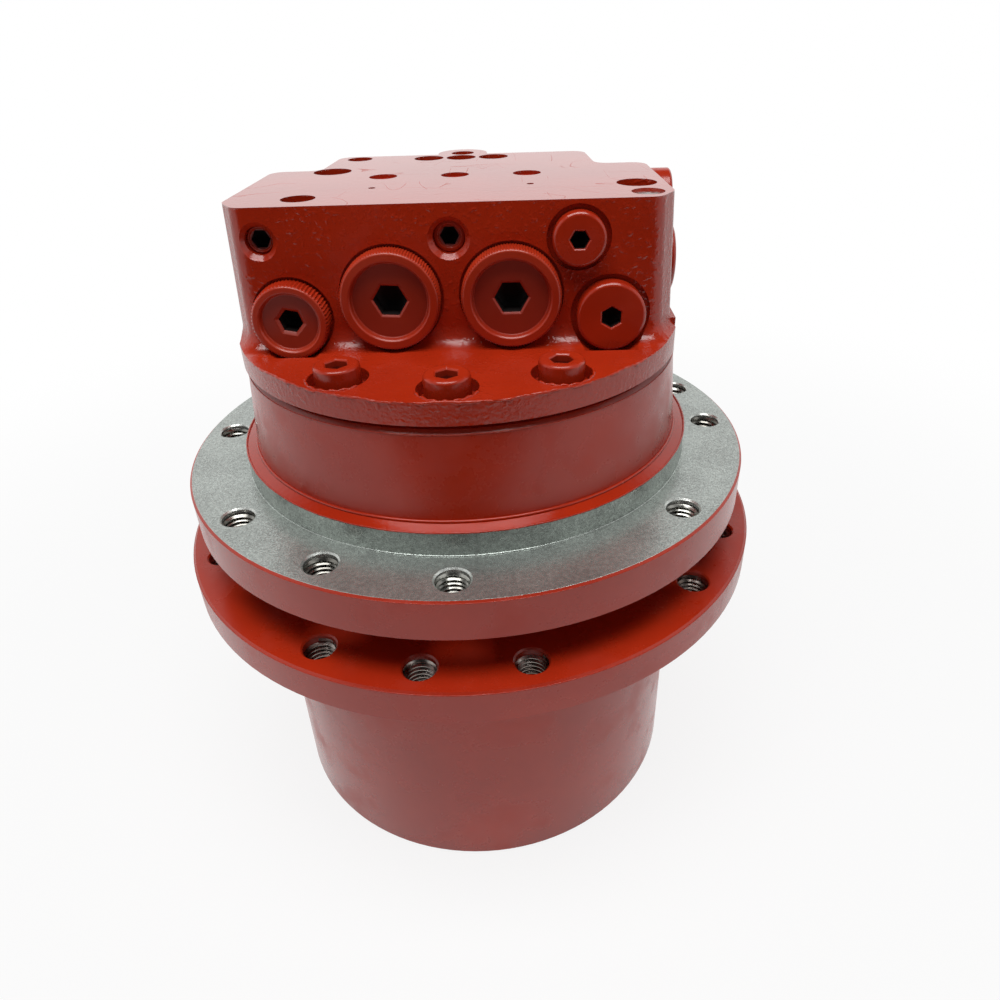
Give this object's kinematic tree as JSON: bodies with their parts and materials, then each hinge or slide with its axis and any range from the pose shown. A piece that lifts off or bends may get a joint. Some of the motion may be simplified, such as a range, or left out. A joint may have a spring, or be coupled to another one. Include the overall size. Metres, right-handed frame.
{
  "type": "excavator final drive",
  "caption": "Hydraulic track drive with piston motor, two planetary stages, a drum with a sprocket flange, a frame flange and a ported valve block on top.",
  "frame": {"origin": "middle of the drum's end face, which stands on the floor", "axes": "+Z along the drive's axis from the drum to the valve block, the block's front face with the ports looks towards -Y"},
  "size_m": [0.205, 0.205, 0.226],
  "materials": {
    "painted_casting": "oxide red paint over a cast surface, semi-gloss",
    "painted_housing": "oxide red paint over machined iron, semi-gloss",
    "painted_plug": "plastic transport plug, painted over with the casting",
    "painted_fitting": "oxide red paint over steel",
    "black_steel": "black oxide",
    "bare_plug": "bare metal, marked by handling",
    "cover_iron": "turned iron, oiled",
    "zinc_plug": "zinc plated",
    "gear_steel": "case-hardened and ground",
    "bearing_steel": "ground and polished",
    "bronze": "turned bronze",
    "friction_lining": "sintered lining",
    "spring_steel": "drawn wire and pressed discs",
    "seal_rubber": "nitrile rubber"
  },
  "bodies": {
    "hub": {"frame_hub": "painted_housing", "valve_block": "painted_casting", "block_screws": "painted_fitting", "joint_seal": "seal_rubber", "pressure_port_plugs": "painted_plug", "drain_port_plug": "painted_plug", "gauge_port_plug": "painted_fitting", "speed_port_plug": "painted_fitting", "jet_screws": "black_steel", "gallery_plugs": "painted_fitting", "bare_gallery_plug": "bare_plug", "spool_end_caps": "painted_fitting", "speed_end_cap": "painted_fitting", "bearing_inner_races": "bearing_steel", "bearing_nut": "gear_steel", "hub_seal_ring": "bearing_steel", "hub_seal_cushion": "seal_rubber", "second_planet_pins": "bearing_steel", "lower_shaft_bearing": "bearing_steel", "upper_shaft_bearing": "bearing_steel", "shaft_seal": "seal_rubber", "brake_steel_plates": "bearing_steel", "port_plate": "bronze", "swash_pivot_balls": "bearing_steel", "spool_springs": "spring_steel", "speed_spring": "spring_steel", "brake_disc_spring": "spring_steel"},
    "drum": {"drum_housing": "painted_housing", "ring_gear": "gear_steel", "end_cover": "cover_iron", "cover_plugs": "zinc_plug", "cover_seal": "seal_rubber", "cover_snap_ring": "black_steel", "bearing_outer_races": "bearing_steel", "drum_seal_ring": "bearing_steel", "drum_seal_cushion": "seal_rubber"},
    "bearing_rows": {"bearing_balls": "bearing_steel", "bearing_cages": "bronze"},
    "first_carrier": {"first_carrier": "gear_steel", "first_planet_pins": "bearing_steel", "second_sun_gear": "gear_steel"},
    "motor_rotor": {"motor_shaft": "gear_steel", "first_sun_gear": "gear_steel", "cylinder_barrel": "bearing_steel", "motor_pistons": "bearing_steel", "piston_shoes": "bronze", "shoe_retainer": "bearing_steel", "retainer_guide": "bearing_steel", "brake_friction_plates": "friction_lining"},
    "swash_plate": {"swash_plate": "bearing_steel"},
    "tilt_piston": {"tilt_piston": "bearing_steel"},
    "brake_piston": {"brake_piston": "bearing_steel"},
    "counterbalance_spool": {"counterbalance_spool": "bearing_steel"},
    "speed_spool": {"speed_spool": "bearing_steel"},
    "first_planet_1": {"first_planet_1": "gear_steel"},
    "first_planet_2": {"first_planet_2": "gear_steel"},
    "first_planet_3": {"first_planet_3": "gear_steel"},
    "second_planet_1": {"second_planet_1": "gear_steel"},
    "second_planet_2": {"second_planet_2": "gear_steel"},
    "second_planet_3": {"second_planet_3": "gear_steel"}
  },
  "joints": [
    {"name": "drum_spin", "type": "hinge", "parent": "hub", "child": "drum", "pos_m": [0, 0, 0.05], "axis": [0, 0, 1], "continuous": true},
    {"name": "bearing_rows_spin", "type": "hinge", "parent": "hub", "child": "bearing_rows", "pos_m": [0, 0, 0.08], "axis": [0, 0, 1], "continuous": true},
    {"name": "first_carrier_spin", "type": "hinge", "parent": "hub", "child": "first_carrier", "pos_m": [0, 0, 0.033], "axis": [0, 0, 1], "continuous": true},
    {"name": "motor_spin", "type": "hinge", "parent": "hub", "child": "motor_rotor", "pos_m": [0, 0, 0.1], "axis": [0, 0, 1], "continuous": true},
    {"name": "first_planet_1_spin", "type": "hinge", "parent": "first_carrier", "child": "first_planet_1", "pos_m": [0.03712, 0, 0.0215], "axis": [0, 0, 1], "continuous": true},
    {"name": "second_planet_1_spin", "type": "hinge", "parent": "hub", "child": "second_planet_1", "pos_m": [0.03712, 0, 0.048], "axis": [0, 0, 1], "continuous": true},
    {"name": "first_planet_2_spin", "type": "hinge", "parent": "first_carrier", "child": "first_planet_2", "pos_m": [-0.01856, 0.03215, 0.0215], "axis": [0, 0, 1], "continuous": true},
    {"name": "second_planet_2_spin", "type": "hinge", "parent": "hub", "child": "second_planet_2", "pos_m": [-0.01856, 0.03215, 0.048], "axis": [0, 0, 1], "continuous": true},
    {"name": "first_planet_3_spin", "type": "hinge", "parent": "first_carrier", "child": "first_planet_3", "pos_m": [-0.01856, -0.03215, 0.0215], "axis": [0, 0, 1], "continuous": true},
    {"name": "second_planet_3_spin", "type": "hinge", "parent": "hub", "child": "second_planet_3", "pos_m": [-0.01856, -0.03215, 0.048], "axis": [0, 0, 1], "continuous": true},
    {"name": "swash_tilt", "type": "hinge", "parent": "hub", "child": "swash_plate", "pos_m": [0, 0, 0.082], "axis": [0, 1, 0], "range_deg": [0, 7]},
    {"name": "tilt_piston_slide", "type": "slide", "parent": "hub", "child": "tilt_piston", "axis": [0, 0, 1], "range_m": [0, 0.0036]},
    {"name": "brake_release", "type": "slide", "parent": "hub", "child": "brake_piston", "axis": [0, 0, 1], "range_m": [0, 0.0015], "stiffness_N_per_m": 20000, "springref_m": -0.002, "deforming": ["brake_disc_spring"]},
    {"name": "counterbalance_shift", "type": "slide", "parent": "hub", "child": "counterbalance_spool", "axis": [1, 0, 0], "range_m": [-0.005, 0.005], "stiffness_N_per_m": 2000, "deforming": ["spool_springs"]},
    {"name": "speed_shift", "type": "slide", "parent": "hub", "child": "speed_spool", "axis": [1, 0, 0], "range_m": [0, 0.005], "stiffness_N_per_m": 1500, "springref_m": -0.002, "deforming": ["speed_spring"]}
  ],
  "couplings": [
    {"joint": "bearing_rows_spin", "follows": "drum_spin", "ratio": 0.54034},
    {"joint": "first_carrier_spin", "follows": "drum_spin", "ratio": -4.5},
    {"joint": "motor_spin", "follows": "drum_spin", "ratio": -29.25},
    {"joint": "first_planet_1_spin", "follows": "drum_spin", "ratio": 14.143},
    {"joint": "second_planet_1_spin", "follows": "drum_spin", "ratio": 2.5714},
    {"joint": "first_planet_2_spin", "follows": "drum_spin", "ratio": 14.143},
    {"joint": "second_planet_2_spin", "follows": "drum_spin", "ratio": 2.5714},
    {"joint": "first_planet_3_spin", "follows": "drum_spin", "ratio": 14.143},
    {"joint": "second_planet_3_spin", "follows": "drum_spin", "ratio": 2.5714},
    {"joint": "tilt_piston_slide", "follows": "swash_tilt", "m_per_rad": 0.028}
  ]
}
